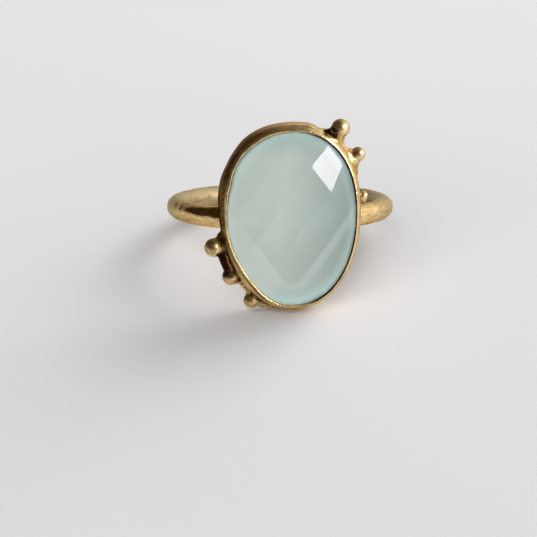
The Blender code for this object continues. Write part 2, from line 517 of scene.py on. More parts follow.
def bezel_rings():
    """Return the rings of points round the bezel's section: plate, wall, burnished lip, seat."""
    top = LIP_TOP - LIP_SINK
    window = STONE_CLEARANCE - PLATE_WIDTH
    turns = circle_steps(BEZEL_STEPS)
    drop = Vector((0, 0, -LIP_DROP))
    outside = [(WALL_OUTSIDE, HEAD_BASE, False)]
    for share, rise in WALL_BENDS:
        outside.append((share * WALL_OUTSIDE, GIRDLE_TOP + rise * LIP_HEIGHT, False))
    outside.append((LIP_CREST + CREST_ROUND, top - CREST_ROUND, True))
    crest = ((LIP_CREST, top, True), (-LIP_OVERLAP, top - LIP_BEVEL, True))
    inside = ((STONE_CLEARANCE, GIRDLE_TOP + LIP_SEAT), (STONE_CLEARANCE, PLATE_TOP), (window, PLATE_TOP))

    def bent_point(turn, grow, out, on_lip):
        """Return a point of the wall or of the lip, where the hand-made bezel has it."""
        lip, proud = uneven_bezel(math.degrees(turn))
        if on_lip:
            return outline_point(turn, grow - lip, out + LIP_CLIMB * lip)
        return outline_point(turn, grow + proud, out)

    rings = [[outline_point(turn, window, HEAD_BASE) for turn in turns]]
    rings.extend([bent_point(turn, *row) for turn in turns] for row in outside)
    rings.extend([bent_point(turn, *row) + drop for turn in turns] for row in crest)
    pressed = []
    for turn in turns:
        edge = bent_point(turn, -LIP_OVERLAP, LIP_TOP, True) + drop
        edge.y = -crown_height(edge.x, edge.z) - LIP_GAP
        pressed.append(edge)
    rings.append(pressed)
    rings.extend([outline_point(turn, *row) for turn in turns] for row in inside)
    return rings


def add_band(bm):
    """Add the round wire of the band."""
    rings = []
    for along in circle_steps(BAND_STEPS):
        ring = []
        for turn in circle_steps(WIRE_SIDES):
            reach = WIRE_MIDDLE + WIRE / 2 * math.cos(turn)
            height = WIRE / 2 * math.sin(turn)
            ring.append(Vector((reach * math.cos(along), reach * math.sin(along), height)))
        rings.append(ring)
    join_rings(bm, rings, closed=True)


def wall_place(bearing, share):
    """Return a point on the wall's outside and the way out, at a share of the wall's height."""
    turn = math.radians(bearing)
    level = HEAD_BASE + share * (LIP_TOP - HEAD_BASE)
    return outline_point(turn, WALL_OUTSIDE, level), outward(turn, WALL_OUTSIDE, level)


def granule_place(bearing, size, standoff):
    """Return where a granule's solder meets the wall, the way out, its radius and its reach."""
    foot, away = wall_place(bearing, GRANULE_LEVEL)
    radius = GRANULE / 2 * size
    return foot, away, radius, radius * standoff


def add_granule(bm, granule):
    """Add one granule and the cone of solder that joins it to the wall."""
    foot, away, radius, reach = granule_place(*granule)
    bmesh.ops.create_uvsphere(
        bm,
        u_segments=BALL_SIDES,
        v_segments=BALL_SIDES // 2,
        radius=radius,
        matrix=Matrix.Translation(foot + away * reach),
    )
    facing = away.to_track_quat("Z", "Y").to_matrix().to_4x4()
    bmesh.ops.create_cone(
        bm,
        cap_ends=True,
        segments=BALL_SIDES,
        radius1=radius * NECK_FOOT,
        radius2=radius * NECK_TOP,
        depth=reach + NECK_ROOT,
        matrix=Matrix.Translation(foot + away * (reach - NECK_ROOT) / 2) @ facing,
    )


def solder_lumps(first, last, radius, standoff, level):
    """Yield the centre, outward direction and radius of each lump along a run of solder."""
    count = max(2, round((last - first) / LUMP_SPACING) + 1)
    for bearing in np.linspace(first, last, count):
        foot, away = wall_place(bearing, level)
        change = noise.noise(Vector((bearing * LUMP_CHANGE, first, 0)))
        size = radius * MM * (1 + LUMP_VARIATION * change)
        yield foot + away * standoff * MM, away, size


def round_end(lump, neighbour):
    """Return the rings of a run's round end beyond an outer lump, from the tip inwards."""
    centre, away, radius = lump
    beyond = (centre - neighbour[0]).normalized()
    return [
        (centre + beyond * radius * bulge, away, radius * math.cos(math.asin(bulge)))
        for bulge in END_BULGES
    ]


def add_solder(bm, run):
    """Add a run of solder against the wall: a lumpy rod with round ends."""
    lumps = list(solder_lumps(*run))
    depth = Vector((0, -1, 0))
    start = round_end(lumps[0], lumps[1])
    finish = reversed(round_end(lumps[-1], lumps[-2]))
    rings = [
        [
            centre + radius * (away * math.cos(turn) + depth * math.sin(turn))
            for turn in circle_steps(ROD_SIDES)
        ]
        for centre, away, radius in (*start, *lumps, *finish)
    ]
    loops = join_rings(bm, rings, closed=False)
    bm.faces.new(loops[0])
    bm.faces.new(loops[-1])


def apply_modifier(piece, kind, settings):
    """Give a piece the mesh that a modifier makes of it."""
    modifier = piece.modifiers.new(kind.lower(), kind)
    for name, value in settings.items():
        setattr(modifier, name, value)
    graph = bpy.context.evaluated_depsgraph_get()
    made = bpy.data.meshes.new_from_object(piece.evaluated_get(graph))
    piece.modifiers.clear()
    piece.data = made


def thin_out(piece, limit):
    """Take away triangles where the skin is flattest, down to a limit."""
    count = sum(len(face.vertices) - 2 for face in piece.data.polygons)
    if count > limit:
        apply_modifier(piece, "DECIMATE", {"ratio": limit / count})


class Skin:
    """The fused metal's vertices as arrays, in the ring's own axes, with their neighbours."""

    def __init__(self, mesh):
        count = len(mesh.vertices)
        places = np.empty(count * 3, dtype=np.float32)
        mesh.vertices.foreach_get("co", places)
        back = np.array(PLACE.inverted())
        self.places = places.reshape(-1, 3) @ back[:3, :3].T + back[:3, 3]
        edges = np.empty(len(mesh.edges) * 2, dtype=np.int32)
        mesh.edges.foreach_get("vertices", edges)
        self.edges = edges.reshape(-1, 2)
        self.valence = np.bincount(edges, minlength=count).astype(float)
        self.mesh = mesh

    def mean_of_neighbours(self, values):
        """Return the mean of each vertex's neighbours."""
        first, second = self.edges.T
        total = np.empty_like(values)
        count = len(self.valence)
        for axis in range(values.shape[1]):
            column = values[:, axis]
            total[:, axis] = np.bincount(first, column[second], count)
            total[:, axis] += np.bincount(second, column[first], count)
        return total / self.valence[:, None]

    def normals(self):
        """Return the vertex normals in the ring's own axes."""
        self.store()
        flat = np.empty(len(self.places) * 3, dtype=np.float32)
        self.mesh.vertex_normals.foreach_get("vector", flat)
        return flat.reshape(-1, 3) @ np.array(PLACE.to_3x3())

    def store(self):
        """Write the places back to the mesh."""
        turn = np.array(PLACE)
        moved = self.places @ turn[:3, :3].T + turn[:3, 3]
        self.mesh.vertices.foreach_set("co", moved.astype(np.float32).ravel())
        self.mesh.update()

    def hollowness(self, passes):
        """Return how far smoothing would lift each vertex: above zero in a hollow."""
        smooth = self.places.copy()
        for _ in range(passes):
            smooth = self.mean_of_neighbours(smooth)
        return ((smooth - self.places) * self.normals()).sum(axis=1)


def ramp(values, start, width):
    """Return a rise from 0 at the start to 1 a width further on; a width below zero goes down."""
    return np.clip((values - start) / width, 0, 1)


def bearing_of(across, up):
    """Return directions in degrees, counted from the right and upwards."""
    return np.degrees(np.arctan2(up, across)) % 360


def round_wire(places):
    """Return how far each point is from the middle of the wire, and its angle round the wire."""
    out = np.hypot(places[:, 0], places[:, 1]) - WIRE_MIDDLE
    return np.hypot(out, places[:, 2]), np.arctan2(places[:, 2], out)


def in_seat(places):
    """Return which points lie in the closed seat round the stone."""
    deep = -places[:, 1]
    across = np.abs(places[:, 0]) / (HALF_WIDTH + STONE_CLEARANCE + WALL / 2)
    up = np.abs(places[:, 2] - HEAD_LIFT) / (HALF_HEIGHT + STONE_CLEARANCE + WALL / 2)
    inside = across**STONE_FULLNESS + up**STONE_FULLNESS < 1
    above_plate = deep > PLATE_TOP - SEAT_FLOOR
    below_lip = deep < LIP_TOP - LIP_SINK - SEAT_CEILING
    return inside & above_plate & below_lip


def flow_solder(skin, passes):
    """Fill the open corners with solder: smooth where the skin is hollow, and nowhere else."""
    closed = in_seat(skin.places)
    for _ in range(passes):
        normals = skin.normals()
        lift = ((skin.mean_of_neighbours(skin.places) - skin.places) * normals).sum(axis=1)
        lift[closed] = 0
        skin.places += normals * np.maximum(lift, 0)[:, None]
    skin.places = 0.5 * (skin.places + skin.mean_of_neighbours(skin.places))


# What counts as the band, in thicknesses of the wire: how far it reaches from the wire's middle
# and over how much it fades; and over what distance from the head the hammering starts
BAND_REACH = 0.6
BAND_FADE = 0.1
HAMMER_START = 1.5 * MM

# How sharply two hammer flats meet, the size and depth of the dimples that are all over, and how
# many times longer than wide the file's strokes are
FLAT_SHARPNESS = 1.6
DIMPLE = 1.1 * MM
DIMPLE_DEPTH = 0.012 * MM
STROKE_STRETCH = 9.0


def hammer_pattern(point, width):
    """Return how deep the hammer went at a point, from 0 on a ridge to 1 in a flat."""
    nearest, second = noise.voronoi(Vector(point) / width)[0][:2]
    return min(1.0, (second - nearest) * FLAT_SHARPNESS)


def work_surface(skin, looks):
    """Hammer the band and leave the wall and the granules a little uneven."""
    places = skin.places
    off_wire, _ = round_wire(places)
    outside_head = ramp(places[:, 1], -HEAD_BASE, HAMMER_START)
    on_band = ramp(off_wire, WIRE * BAND_REACH, -WIRE * BAND_FADE) * outside_head
    normals = skin.normals()
    sink = np.zeros(len(places))
    for i, point in enumerate(places):
        sink[i] = DIMPLE_DEPTH * (1 + noise.noise(Vector(point) / DIMPLE))
        if on_band[i] > 0:
            sink[i] += on_band[i] * looks.hammer_depth * hammer_pattern(point, looks.hammer_width)
    sink[in_seat(places)] = 0
    skin.places = places - normals * sink[:, None]


def brush_direction(places):
    """Return places stretched along the file's strokes, which run round the wall and the band."""
    off_wire, side = round_wire(places)
    x, y, z = places.T
    on_band = (off_wire < BAND_REACH * WIRE) & (y > -HEAD_BASE)
    strokes = np.column_stack((x, z, y * STROKE_STRETCH))
    around = np.column_stack((x, y, side * WIRE / 2 * STROKE_STRETCH))
    strokes[on_band] = around[on_band]
    return strokes


# Flux, in radii of a lump of solder: how far from the lump's middle it ends and over how much it
# fades, and the same towards the wall
FLUX_REACH = (1.75, -0.35)
FLUX_BEHIND = (-0.9, 0.4)

# How much painted shade the wall's upper left side has, and how brown the line along the lip is, by
# degrees round the head
WALL_SHADE = ((94, 0), (122, 0.72), (150, 0.85), (172, 1), (196, 1), (216, 0))
LIP_LINE = ((196, 0), (206, 0.85), (246, 0.85), (262, 0))
LIP_LINE_PLACE = 0.18 * MM
LIP_LINE_EDGES = (0.1 * MM, -0.04 * MM)

# The wall's painted shade: from which share of the stone's half size on, how far it climbs with the
# lip, how much of the crest is left without it, and over what heights it fades at the lip and below
WALL_START = (0.98, 0.03)
SHADE_CLIMB = 0.7
UNSHADED_CREST = 0.04 * MM
LIP_FADE = 0.1 * MM
BASE_FADE = 0.3 * MM

# How dark the band's painted shade is, and over how many degrees its lower and upper edges fade
BAND_DARKNESS = 0.9
LOWER_FADE = 4
UPPER_FADE = 5

# Where the back of the band starts to be dull, which is rougher and painted a paler gold for how it
# catches the light, at the right and at the left, and how gradually
DULL_RIGHT = 7.9 * MM
DULL_LEFT = 6.2 * MM
DULL_FADE = 4.5 * MM

# Granules, in radii: where the polish ends, and over how much of the upper left side the painted shade
# grows
POLISH_REACH = (1.2, -0.15)
BROWN_GROWTH = (0, 0.8)

# The painted shade in the crevice between the lip and the stone: towards which side it lies, and how far
# up the crest
CREVICE_SHADE_SIDE = (-0.05, 0.35)
CREVICE_SHADE_REACH = (0.025 * MM, -0.03 * MM)


def solder_stain(places):
    """Return how much dark flux is left at each point, from 0 to 1."""
    stain = np.zeros(len(places))
    for left, run in SOLDER_RUNS:
        for place, away, radius in solder_lumps(*run):
            off = (places - np.array(place)) / radius
            near = ramp(np.linalg.norm(off, axis=1), *FLUX_REACH)
            outside = ramp(off @ np.array(away), *FLUX_BEHIND)
            stain = np.maximum(stain, left * near * outside)
    return stain


def wall_shade(places):
    """Return how much painted shade the wall's upper left side has at each point."""
    across = places[:, 0] / HALF_WIDTH
    up = (places[:, 2] - HEAD_LIFT) / HALF_HEIGHT
    bearing = bearing_of(across, up)
    side = np.interp(bearing, *np.array(WALL_SHADE).T)
    lip = uneven_bezel(bearing)[0]
    outside = ramp(np.hypot(across, up) + lip / STONE_WIDTH, *WALL_START)
    crest = LIP_TOP - LIP_SINK + SHADE_CLIMB * LIP_CLIMB * lip - UNSHADED_CREST
    below_crest = ramp(places[:, 1], -crest, LIP_FADE)
    on_head = ramp(-places[:, 1], HEAD_BASE - BASE_FADE, BASE_FADE)
    return side * outside * below_crest * on_head


def band_shade(places):
    """Return how much painted shade the upper side of the band's left arm has near the head, from 0 to 1.
    """
    off_wire, side = round_wire(places)
    side = np.degrees(side)
    along = bearing_of(places[:, 0], places[:, 1])
    stops, lower, upper = np.array(BAND_SHADE).T
    above = ramp(side, np.interp(along, stops, lower), LOWER_FADE)
    below = ramp(side, np.interp(along, stops, upper), -UPPER_FADE)
    within = (along > stops[0]) & (along < stops[-1]) & (off_wire < BAND_REACH * WIRE)
    return BAND_DARKNESS * above * below * within


def back_of_band(places):
    """Return how far each point is round the back of the band, where the gold is dull and painted paler.
    """
    start = np.where(places[:, 0] > 0, DULL_RIGHT, DULL_LEFT)
    return ramp(places[:, 1], -start, DULL_FADE)


def granule_finish(places):
    """Return where the granules are, and how much painted shade their upper left sides have, from 0 to 1.
    """
    polish = np.zeros(len(places))
    brown = np.zeros(len(places))
    for granule in GRANULES:
        foot, away, radius, reach = granule_place(*granule)
        off = (places - np.array(foot + away * reach)) / radius
        near = ramp(np.linalg.norm(off, axis=1), *POLISH_REACH)
        facing = ramp(off @ np.array(GRANULE_SHADED_SIDE), *BROWN_GROWTH)
        polish = np.maximum(polish, near)
        brown = np.maximum(brown, GRANULE_SHADE * near * facing)
    return polish, brown


def outside_crest(places):
    """Return how far outside the lip's crest each point is, and its bearing in degrees."""
    bearing = bearing_of(places[:, 0], places[:, 2] - HEAD_LIFT)
    crest = []
    for degrees in range(360):
        lip = uneven_bezel(degrees)[0]
        point = outline_point(math.radians(degrees), LIP_CREST - lip, LIP_TOP)
        crest.append((point.x, point.z - LIP_DROP - HEAD_LIFT))
    across, up = np.array(crest).T
    edge = np.interp(bearing, bearing_of(across, up), np.hypot(across, up), period=360)
    return np.hypot(places[:, 0], places[:, 2] - HEAD_LIFT) - edge, bearing


def right_crevice_shade(places):
    """Return how much painted shade lies in the crevice between the lip and the stone, on the right."""
    outside, bearing = outside_crest(places)
    side = ramp(np.cos(np.radians(bearing)), *CREVICE_SHADE_SIDE)
    return side * ramp(outside, *CREVICE_SHADE_REACH) * (places[:, 1] < -GIRDLE_TOP)


def lip_line(places):
    """Return how brown the line along the lip is, at the lower left."""
    outside, bearing = outside_crest(places)
    side = np.interp(bearing, *np.array(LIP_LINE).T)
    line = ramp(np.abs(outside - LIP_LINE_PLACE), *LIP_LINE_EDGES)
    return side * line * (places[:, 1] < -GIRDLE_TOP)


# In how many passes the metal's hollows are found, and how deep or high the full ones are
HOLLOW_PASSES = 16
HOLLOW_DEPTH = 0.05 * MM
RIDGE_HEIGHT = 0.06 * MM


def metal_finishes(skin):
    """Return by name what the gold's material reads at each vertex, each from 0 to 1."""
    places = skin.places
    lift = skin.hollowness(HOLLOW_PASSES)
    polish, brown = granule_finish(places)
    # Painted shade on the wall's upper left, the band's left arm and the granules, with the lip's brown
    # line
    tarnish_and_shade = wall_shade(places) * (1 - polish)
    for more in (band_shade(places), brown, lip_line(places)):
        tarnish_and_shade = np.maximum(tarnish_and_shade, more)
    return {
        "hollow": ramp(lift, 0, HOLLOW_DEPTH),
        "ridge": ramp(lift, 0, -RIDGE_HEIGHT),
        "solder": solder_stain(places),
        "polish": polish,
        "tarnish_and_shade": tarnish_and_shade,
        "matte": back_of_band(places),
        "crevice_shade": right_crevice_shade(places),
    }


def keep_attribute(mesh, name, values, kind="FLOAT", domain="POINT"):
    """Store a number or a vector for each vertex or corner."""
    made = mesh.attributes.new(name, kind, domain)
    field = "value" if kind == "FLOAT" else "vector"
    made.data.foreach_set(field, np.asarray(values, dtype=np.float32).ravel())


def new_material(name):
    """Return a new material with its tree and its Principled shader."""
    made = bpy.data.materials.new(name)
    made.use_nodes = True
    tree = made.node_tree
    return made, tree, tree.nodes["Principled BSDF"]


def feed(tree, node, inputs):
    """Link each input of a node to another node's value, or set it to a constant."""
    for key, value in inputs.items():
        socket = node.inputs[key]
        if isinstance(value, bpy.types.NodeSocket):
            tree.links.new(value, socket)
        elif socket.type == "RGBA":
            socket.default_value = (*value, 1)
        else:
            socket.default_value = value


def add_node(tree, kind, settings=None, inputs=None):
    """Add a node with its settings and its constant or linked inputs."""
    node = tree.nodes.new(kind)
    for key, value in (settings or {}).items():
        setattr(node, key, value)
    feed(tree, node, inputs or {})
    return node


def add_noise(tree, where, size, detail=4.0, roughness=0.55):
    """Return a noise value with features of a given size."""
    inputs = {"Vector": where, "Scale": 1 / size, "Detail": detail, "Roughness": roughness}
    return add_node(tree, "ShaderNodeTexNoise", inputs=inputs).outputs["Fac"]


def stretch(tree, value, low, high, to_low=0.0, to_high=1.0):
    """Return the value stretched from one range to another and held within it."""
    inputs = {"Value": value, "From Min": low, "From Max": high, "To Min": to_low, "To Max": to_high}
    return add_node(tree, "ShaderNodeMapRange", {"clamp": True}, inputs).outputs["Result"]


def blend_colours(tree, share, first, second):
    """Return a colour between two colours."""
    inputs = {"Factor": share, 6: first, 7: second}
    return add_node(tree, "ShaderNodeMix", {"data_type": "RGBA"}, inputs).outputs[2]


def combine(tree, operation, *values):
    """Return the result of an operation on two or more values, taken from the left."""
    total = values[0]
    for value in values[1:]:
        inputs = {0: total, 1: value}
        total = add_node(tree, "ShaderNodeMath", {"operation": operation}, inputs).outputs[0]
    return total


def combine_vectors(tree, operation, first, second=(0, 0, 0), output="Value"):
    """Return the result of an operation on two vectors."""
    inputs = {0: first, 1: second}
    return add_node(tree, "ShaderNodeVectorMath", {"operation": operation}, inputs).outputs[output]


def attribute(tree, name, output="Fac"):
    """Return what is stored on the vertices under a name."""
    return add_node(tree, "ShaderNodeAttribute", {"attribute_name": name}).outputs[output]


# Widths of the gold's features
CLOUDS = 1.6 * MM
SPECKS = 0.32 * MM
STROKES = 0.9 * MM
GRAIN = 0.18 * MM
DENTS = 0.5 * MM

# How the gold's features show: from which value to which, and what these two come to
WORN_BY_CLOUDS = (0.4, 0.66, 0, 0.6)
WORN_BY_STROKES = (0.45, 0.65, -0.3, 0.3)
WORN_BY_POLISH = (0, 1, 0, 0.1)
STAINED_BY_SPECKS = (0.54, 0.74, 0, 0.35)
STAINED_BY_STROKES = (0.34, 0.50, 0.42, 0)
TARNISH_AND_SHADE_BY_SPECKS = (0.38, 0.62, 1, 0.76)
FLUX_BY_CLOUDS = (0.3, 0.5, 0.7, 1)
DULL_COVER = (0, 1, 0, 0.85)
FLUX_AS_GLASS = (0, 1, 0, 0.4)

# The gold's roughness: between which specks it changes and how far from its usual value, and how
# much rougher it is where tarnish and painted shade, matte gold, polish, flux and the crevice's
# painted shade are full
ROUGH_SPECKS = (0.3, 0.7)
ROUGH_BY_SPECKS = (-0.06, 0.08)
ROUGHER_BY_FINISH = (0.1, 0.2, 0.05, -0.1, 0.4)

# The relief's parts beside the grain, how much of it is left on smooth gold, and how much more
# of it the flux has
DENT_HEIGHT = 2.5
STROKE_HEIGHT = 0.8
SMOOTH_RELIEF = 0.3
FLUX_RELIEF = 2.5


def gold_material(looks):
    """Aged gold: bright where it is rubbed, brown in the hollows, with a fine grain, painted shade and
    a band painted paler at the back.
    """
    made, tree, shader = new_material("aged_gold")
    where = add_node(tree, "ShaderNodeTexCoord").outputs["Object"]
    clouds = add_noise(tree, where, CLOUDS)
    specks = add_noise(tree, where, SPECKS, 5.0, 0.6)
    strokes = add_noise(tree, attribute(tree, "strokes", "Vector"), STROKES, 5.0, 0.6)
    polish = attribute(tree, "polish")
    matte = attribute(tree, "matte")
    crevice_shade = attribute(tree, "crevice_shade")
    worn = combine(
        tree,
        "ADD",
        stretch(tree, clouds, *WORN_BY_CLOUDS),
        attribute(tree, "ridge"),
        stretch(tree, strokes, *WORN_BY_STROKES),
        stretch(tree, polish, *WORN_BY_POLISH),
    )
    stain = combine(
        tree,
        "ADD",
        stretch(tree, specks, *STAINED_BY_SPECKS),
        attribute(tree, "hollow"),
        stretch(tree, strokes, *STAINED_BY_STROKES),
    )
    tarnish_and_shade = combine(
        tree,
        "MULTIPLY",
        attribute(tree, "tarnish_and_shade"),
        looks.tarnish_and_shade_strength,
        stretch(tree, specks, *TARNISH_AND_SHADE_BY_SPECKS),
    )
    solder = attribute(tree, "solder")
    flux = combine(tree, "MULTIPLY", solder, stretch(tree, clouds, *FLUX_BY_CLOUDS))
    colour = blend_colours(tree, stretch(tree, worn, 0, 1), looks.body, looks.bright)
    # Painted light: the back of the band painted paler
    colour = blend_colours(tree, stretch(tree, matte, *DULL_COVER), colour, looks.dull_and_lit)
    # Painted shade, and the brown line along the lip
    colour = blend_colours(tree, tarnish_and_shade, colour, looks.tarnish_and_shade)
    colour = blend_colours(tree, stretch(tree, stain, 0, 1), colour, looks.patina)
    colour = blend_colours(tree, flux, colour, looks.flux)
    # Painted shade in the crevice between the lip and the stone, on the right
    colour = blend_colours(tree, crevice_shade, colour, looks.crevice_shade)
    glassy = combine(tree, "MAXIMUM", crevice_shade, stretch(tree, flux, *FLUX_AS_GLASS))
    edge = blend_colours(tree, matte, looks.edge, looks.dull_and_lit_edge)
    dark = combine(tree, "MAXIMUM", tarnish_and_shade, flux, crevice_shade)
    edge = blend_colours(tree, dark, edge, looks.tarnished_and_shaded_edge)
    smoothest, roughest = (looks.roughness + change for change in ROUGH_BY_SPECKS)
    rough = stretch(tree, specks, *ROUGH_SPECKS, smoothest, roughest)
    for finish, rougher in zip((tarnish_and_shade, matte, polish, flux, crevice_shade), ROUGHER_BY_FINISH):
        rough = combine(tree, "ADD", rough, stretch(tree, finish, 0, 1, 0, rougher))
    relief = combine(
        tree,
        "ADD",
        add_noise(tree, where, GRAIN, 3.0),
        combine(tree, "MULTIPLY", add_noise(tree, where, DENTS, 3.0), DENT_HEIGHT),
        combine(tree, "MULTIPLY", strokes, STROKE_HEIGHT),
    )
    smooth = combine(tree, "MAXIMUM", polish, matte)
    depth = stretch(tree, smooth, 0, 1, looks.grain_depth, SMOOTH_RELIEF * looks.grain_depth)
    depth = combine(tree, "MULTIPLY", depth, stretch(tree, flux, 0, 1, 1, FLUX_RELIEF))
    inputs = {"Height": relief, "Distance": depth, "Strength": 1.0}
    bump = add_node(tree, "ShaderNodeBump", inputs=inputs)
    feed(tree, shader, {
        "Base Color": colour,
        "Metallic": stretch(tree, glassy, 0, 1, 1, 0),
        "Specular Tint": edge,
        "Roughness": rough,
        "Normal": bump.outputs["Normal"],
    })
    return made


# The painted light and shade inside the stone, by places in shares of its half sizes: from where to
# where each grows, and what it comes to there if that isn't 0 and 1. The table at the stone's back
# shows as a lozenge painted darker, with a pale strip of painted light outside it; the rim is painted
# lighter, and the top and the foot are painted in shade.
RIM_START = (0.84, 1.0)
RIM_COVER = (0.3, 0.9, 0.8, 0.55)
VEIL_SIZE = 3.0 * MM
VEIL = (0.35, 0.65, -0.1, 0.1)
SHADED_SIDE = (-0.15, 0.85)
TABLE_EDGE = (0.80, 0.83)
TABLE_TOP = (-0.05, -0.4)
TABLE_FOOT = (-0.70, -0.76, 1, 0)
STRIP_END = (0.92, 1.02, 1, 0)
STRIP_TOP = (0.14, 0.02, 0, 0.35)
STRIP_SIDE = (0.05, 0.4)
TOP_SHADE = (0.7, 0.98, 0, 0.6)
FOOT_SHADE = (-0.74, -0.98, 0, 0.4)

# The painted highlight along the lower right edge of the middle facet: how far out it lies in
# facets, how wide and how long it is, and on which side
GLINT_LINE = 0.9
GLINT_WIDTH = (0.008, 0.045, 0.22, 0)
GLINT_LENGTH = (0.1, 0.25, 1, 0)
GLINT_SIDE = (0.0, 0.06)

# How chalcedony bends and scatters light, and how smooth its polish is
STONE_BENDING = 1.54
STONE_SCATTER = (0.8, 1.0, 0.95)
STONE_POLISH = 0.06


def stone_material(looks):
    """Milky chalcedony: soft light inside, which hides the facets, and a polish that shows them, with
    painted light and shade in its colour.
    """
    made, tree, shader = new_material("aqua_chalcedony")
    where = add_node(tree, "ShaderNodeTexCoord").outputs["Object"]
    own = add_node(tree, "ShaderNodeMapping", {"vector_type": "TEXTURE"}, {
        "Vector": where,
        "Location": PLACE @ Vector((0, 0, HEAD_LIFT)),
        "Rotation": PLACE.to_euler(),
        "Scale": (HALF_WIDTH, 1, HALF_HEIGHT),
    }).outputs["Vector"]

    def along(direction, vector=own):
        """Return how far each point is along a direction."""
        return combine_vectors(tree, "DOT_PRODUCT", vector, direction)

    flat = combine_vectors(tree, "MULTIPLY", own, (1, 0, 1), "Vector")
    reach = combine_vectors(tree, "LENGTH", flat)
    across = along((1, 0, -0.2))
    up = along((0, 0, 1))
    folded = combine_vectors(tree, "ABSOLUTE", own, output="Vector")
    lozenge = combine(tree, "SUBTRACT", along((1, 0, 0), folded), up)
    inner = combine(
        tree,
        "MULTIPLY",
        stretch(tree, lozenge, *TABLE_EDGE, 1, 0),
        stretch(tree, up, *TABLE_TOP),
        stretch(tree, up, *TABLE_FOOT),
    )
    strip = combine(
        tree,
        "MULTIPLY",
        stretch(tree, lozenge, *TABLE_EDGE),
        stretch(tree, lozenge, *STRIP_END),
        stretch(tree, up, *STRIP_TOP),
        stretch(tree, across, *STRIP_SIDE),
    )
    # Painted highlight: a light line along one edge of the middle facet
    edge = combine(tree, "ABSOLUTE", along((1, 0, -1)), 0)
    edge = combine(tree, "SUBTRACT", edge, GLINT_LINE * FACET_PITCH)
    worn = combine(
        tree,
        "MULTIPLY",
        stretch(tree, combine(tree, "ABSOLUTE", edge, 0), *GLINT_WIDTH),
        stretch(tree, combine(tree, "ABSOLUTE", along((1, 0, 1)), 0), *GLINT_LENGTH),
        stretch(tree, across, *GLINT_SIDE),
    )
    veil = stretch(tree, add_noise(tree, where, VEIL_SIZE, 3.0), *VEIL)
    rim = stretch(tree, combine(tree, "ADD", stretch(tree, reach, *RIM_START), veil), 0, 1)
    rim = combine(tree, "MULTIPLY", rim, stretch(tree, across, *RIM_COVER))
    colour = looks.heart
    # Painted light and shade: darker table, shaded side, pale strip, highlight, shaded top and foot,
    # lighter rim
    for share, shade in (
        (inner, looks.table),
        (stretch(tree, across, *SHADED_SIDE), looks.shade),
        (strip, looks.heart),
        (worn, looks.glint),
        (stretch(tree, up, *TOP_SHADE), looks.top),
        (stretch(tree, up, *FOOT_SHADE), looks.top),
        (rim, looks.rim),
    ):
        colour = blend_colours(tree, share, colour, shade)
    feed(tree, shader, {
        "Base Color": colour,
        "Normal": attribute(tree, "dome", "Vector"),
        "Specular IOR Level": 0.0,
        "IOR": STONE_BENDING,
        "Subsurface Weight": 1.0,
        "Subsurface Radius": STONE_SCATTER,
        "Subsurface Scale": looks.depth,
        "Coat Weight": 1.0,
        "Coat Roughness": STONE_POLISH,
        "Coat IOR": STONE_BENDING,
    })
    return made


# The floor: where its painted light makes it lighter behind the ring, and its faint unevenness
FLOOR_BEHIND = (-30 * MM, 110 * MM)
FLOOR_CLOUD = 60 * MM
FLOOR_UNEVENNESS = (0.3, 0.7, -0.1, 0.1)
FLOOR_ROUGHNESS = 0.6


def floor_material(looks):
    """A pale matte floor, painted a little lighter behind the ring, with a faint unevenness."""
    made, tree, shader = new_material("pale_floor")
    where = add_node(tree, "ShaderNodeTexCoord").outputs["Object"]
    split = add_node(tree, "ShaderNodeSeparateXYZ", inputs={"Vector": where})
    behind = stretch(tree, split.outputs["Y"], *FLOOR_BEHIND)
    uneven = stretch(tree, add_noise(tree, where, FLOOR_CLOUD, 2.0), *FLOOR_UNEVENNESS)
    share = stretch(tree, combine(tree, "ADD", behind, uneven), 0, 1)
    colour = blend_colours(tree, share, looks.floor, looks.floor_behind)
    feed(tree, shader, {"Base Color": colour, "Roughness": FLOOR_ROUGHNESS})
    return made


class RING_OT_soldered_metal(bpy.types.Operator):
    """Fuse the band, the bezel and the granules into one hand-worked body of aged gold"""

    bl_idname = "ring.soldered_metal"
    bl_label = "Soldered metal"

    def execute(self, context):
        looks = context.scene.ring_gold
        bm = bmesh.new()
        join_rings(bm, bezel_rings(), closed=True)
        add_band(bm)
        for granule in GRANULES:
            add_granule(bm, granule)
        for _, run in SOLDER_RUNS:
            add_solder(bm, run)
        metal = new_piece("soldered_metal", bm)
        apply_modifier(metal, "REMESH", {"mode": "VOXEL", "voxel_size": looks.voxel})
        skin = Skin(metal.data)
        flow_solder(skin, looks.solder_flow)
        work_surface(skin, looks)
        skin.store()
        thin_out(metal, TRIANGLE_LIMIT)
        skin = Skin(metal.data)
        for name, values in metal_finishes(skin).items():
            keep_attribute(metal.data, name, values)
        strokes = brush_direction(skin.places)
        keep_attribute(metal.data, "strokes", strokes, "FLOAT_VECTOR")
        metal.data.shade_smooth()
        metal.data.materials.clear()
        metal.data.materials.append(gold_material(looks))
        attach(metal, "root")
        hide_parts("band_and_bezel")
        return {"FINISHED"}


def stone_blank():
    """Return the stone before its facets are ground: an egg-shaped block with a bevelled back."""
    rows = ((-BACK_BEVEL, STONE_BACK), (0, STONE_BACK + BACK_BEVEL), (0, STONE_FRONT + CROWN))
    turns = circle_steps(BEZEL_STEPS)
    bm = bmesh.new()
    rings = [[outline_point(turn, *row) for turn in turns] for row in rows]
    loops = join_rings(bm, rings, closed=False)
    bm.faces.new(loops[0])
    bm.faces.new(loops[-1])
    bmesh.ops.recalc_face_normals(bm, faces=bm.faces)
    return bm


# How exactly the facets are cut, and how far towards the front, as the Y of its normal, a face
# turns that is worn at its edges or lit as part of the dome
CUT_PRECISION = 0.0005 * MM
WORN_FACING = -0.5
DOME_FACING = -0.3


